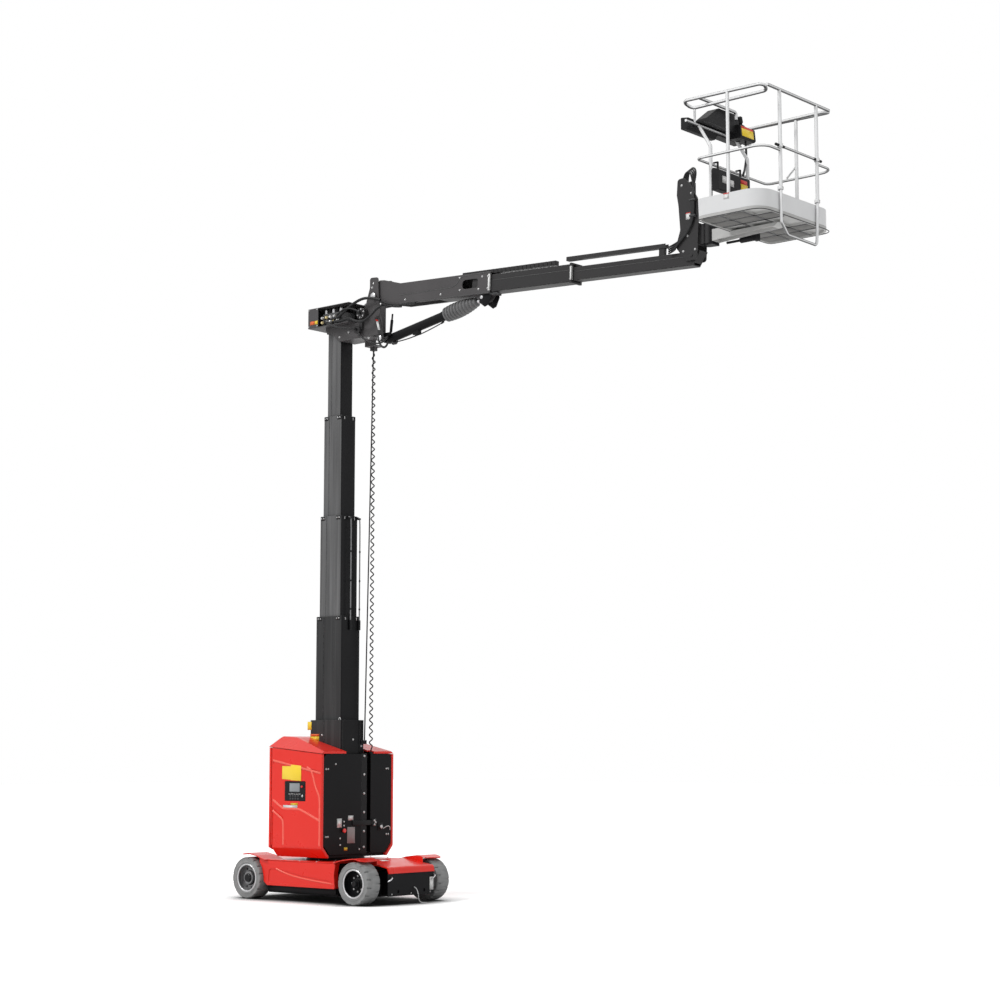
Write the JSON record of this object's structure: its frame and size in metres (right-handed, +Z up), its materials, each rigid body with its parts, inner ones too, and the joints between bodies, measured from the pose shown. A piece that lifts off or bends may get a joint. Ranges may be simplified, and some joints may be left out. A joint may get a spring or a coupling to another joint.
{
  "type": "vertical mast lift",
  "caption": "Self-propelled aerial work platform with a slewing telescopic mast, telescopic jib and turning basket.",
  "frame": {"origin": "on the ground below the middle of the machine's whole length and width, with the jib out in front", "axes": "+X forward, the way the jib points; +Y to the left; +Z up"},
  "size_m": [6.815, 1.2, 7.425],
  "materials": {
    "black_paint": "satin paint",
    "black_plastic": "moulded",
    "cast_mass": "rough",
    "chrome_rod": "ground",
    "mast_steel": "satin paint",
    "red_paint": "gloss paint",
    "rubber": "cable sheath",
    "silver_steel": "bare metal",
    "tyre_grey": "non-marking rubber",
    "white_paint": "powder coat"
  },
  "bodies": {
    "chassis": {"chassis_frame": "black_paint", "chassis_deck": "red_paint", "skirt_right": "red_paint", "skirt_left": "red_paint", "front_plate": "black_paint", "rear_plate": "black_paint", "battery_pack": "cast_mass", "slew_ring": "black_paint", "rear_axle": "black_paint", "front_axle": "black_paint", "ground_strap": "black_paint"},
    "knuckle_right": {"knuckle_right": "black_paint"},
    "knuckle_left": {"knuckle_left": "black_paint"},
    "wheel_front_right": {"tyre_front_right": "tyre_grey", "rim_front_right": "black_paint"},
    "wheel_front_left": {"tyre_front_left": "tyre_grey", "rim_front_left": "black_paint"},
    "wheel_rear_right": {"tyre_rear_right": "tyre_grey", "rim_rear_right": "silver_steel"},
    "wheel_rear_left": {"tyre_rear_left": "tyre_grey", "rim_rear_left": "silver_steel"},
    "turret": {"turret_base": "black_paint", "mast_base": "mast_steel", "rear_cover": "red_paint", "top_cover": "red_paint", "front_panel_right": "black_paint", "front_panel_left": "black_paint", "mast_column": "mast_steel", "counterweight": "cast_mass", "curly_cord": "rubber", "mast_cable": "rubber"},
    "door_right": {"door_right": "red_paint", "control_panel": "black_plastic"},
    "door_left": {"door_left": "red_paint"},
    "mast_1": {"mast_stage_1": "mast_steel"},
    "mast_2": {"mast_stage_2": "mast_steel"},
    "mast_3": {"mast_stage_3": "mast_steel"},
    "mast_4": {"mast_stage_4": "mast_steel", "mast_head": "mast_steel", "valve_box": "black_paint", "valve_block": "silver_steel", "head_motor": "black_plastic", "level_cylinder": "black_paint", "head_hoses": "rubber"},
    "jib": {"jib_base": "black_paint", "cable_chain": "black_plastic"},
    "lift_rod": {"lift_rod": "chrome_rod", "rod_boot": "rubber"},
    "lift_cylinder": {"lift_cylinder": "black_paint"},
    "jib_mid": {"jib_mid": "black_paint"},
    "jib_fly": {"jib_fly": "black_paint", "cable_tray": "black_paint"},
    "basket_arm": {"basket_arm": "black_paint"},
    "basket": {"rotator": "black_paint", "basket_floor": "white_paint", "toe_board": "white_paint", "basket_rails": "white_paint", "console": "black_plastic", "control_box": "black_plastic"},
    "drop_bar": {"drop_bar": "white_paint"}
  },
  "joints": [
    {"name": "steer_right", "type": "hinge", "parent": "chassis", "child": "knuckle_right", "pos_m": [-1.6025, -0.392, 0.215], "axis": [0, 0, 1], "range_deg": [-35, 35]},
    {"name": "steer_left", "type": "hinge", "parent": "chassis", "child": "knuckle_left", "pos_m": [-1.6025, 0.392, 0.215], "axis": [0, 0, 1], "range_deg": [-35, 35]},
    {"name": "wheel_front_right", "type": "hinge", "parent": "knuckle_right", "child": "wheel_front_right", "pos_m": [-1.6025, -0.51, 0.215], "axis": [0, 1, 0], "continuous": true},
    {"name": "wheel_front_left", "type": "hinge", "parent": "knuckle_left", "child": "wheel_front_left", "pos_m": [-1.6025, 0.51, 0.215], "axis": [0, 1, 0], "continuous": true},
    {"name": "wheel_rear_right", "type": "hinge", "parent": "chassis", "child": "wheel_rear_right", "pos_m": [-3.1725, -0.51, 0.215], "axis": [0, 1, 0], "continuous": true},
    {"name": "wheel_rear_left", "type": "hinge", "parent": "chassis", "child": "wheel_rear_left", "pos_m": [-3.1725, 0.51, 0.215], "axis": [0, 1, 0], "continuous": true},
    {"name": "slew", "type": "hinge", "parent": "chassis", "child": "turret", "pos_m": [-2.4525, 0, 0.45], "axis": [0, 0, 1], "range_deg": [-172.5, 172.5]},
    {"name": "door_right_hinge", "type": "hinge", "parent": "turret", "child": "door_right", "pos_m": [-2.8765, -0.519, 1], "axis": [0, 0, -1], "range_deg": [0, 80]},
    {"name": "door_left_hinge", "type": "hinge", "parent": "turret", "child": "door_left", "pos_m": [-2.8765, 0.519, 1], "axis": [0, 0, 1], "range_deg": [0, 80]},
    {"name": "mast_1_slide", "type": "slide", "parent": "turret", "child": "mast_1", "axis": [0, 0, 1], "range_m": [-1.03, 0], "deforming": ["curly_cord", "mast_cable"]},
    {"name": "mast_2_slide", "type": "slide", "parent": "mast_1", "child": "mast_2", "axis": [0, 0, 1], "range_m": [-1.03, 0]},
    {"name": "mast_3_slide", "type": "slide", "parent": "mast_2", "child": "mast_3", "axis": [0, 0, 1], "range_m": [-1.03, 0]},
    {"name": "mast_4_slide", "type": "slide", "parent": "mast_3", "child": "mast_4", "axis": [0, 0, 1], "range_m": [-0.76, 0]},
    {"name": "jib_lift", "type": "hinge", "parent": "mast_4", "child": "jib", "pos_m": [-1.8325, 0, 6.3], "axis": [0, 1, 0], "range_deg": [-72.8, 57.2]},
    {"name": "rod_swing", "type": "hinge", "parent": "jib", "child": "lift_rod", "pos_m": [-0.366, 0, 6.09011], "axis": [0, 1, 0], "range_deg": [-5, 5]},
    {"name": "rod_slide", "type": "slide", "parent": "lift_rod", "child": "lift_cylinder", "axis": [-0.984, 0, -0.1784], "range_m": [-0.38, 0.48]},
    {"name": "jib_mid_slide", "type": "slide", "parent": "jib", "child": "jib_mid", "axis": [0.9988, 0, -0.0489], "range_m": [-0.85, 0]},
    {"name": "jib_fly_slide", "type": "slide", "parent": "jib_mid", "child": "jib_fly", "axis": [0.9988, 0, -0.0489], "range_m": [-0.85, 0]},
    {"name": "basket_level", "type": "hinge", "parent": "jib_fly", "child": "basket_arm", "pos_m": [2.2375, 0, 6.112], "axis": [0, 1, 0], "range_deg": [-57.2, 72.8]},
    {"name": "basket_turn", "type": "hinge", "parent": "basket_arm", "child": "basket", "pos_m": [2.3895, 0, 6.3], "axis": [0, 0, 1], "range_deg": [-70, 70]},
    {"name": "drop_bar_lift", "type": "slide", "parent": "basket", "child": "drop_bar", "axis": [0, 0, 1], "range_m": [0, 0.2]}
  ],
  "couplings": [
    {"joint": "steer_left", "follows": "steer_right", "ratio": 1},
    {"joint": "mast_2_slide", "follows": "mast_1_slide", "ratio": 1},
    {"joint": "mast_3_slide", "follows": "mast_1_slide", "ratio": 1},
    {"joint": "mast_4_slide", "follows": "mast_1_slide", "ratio": 0.73786},
    {"joint": "rod_swing", "follows": "jib_lift", "ratio": 0.0319},
    {"joint": "rod_slide", "follows": "jib_lift", "m_per_rad": -0.373},
    {"joint": "jib_fly_slide", "follows": "jib_mid_slide", "ratio": 1},
    {"joint": "basket_level", "follows": "jib_lift", "ratio": -1}
  ]
}
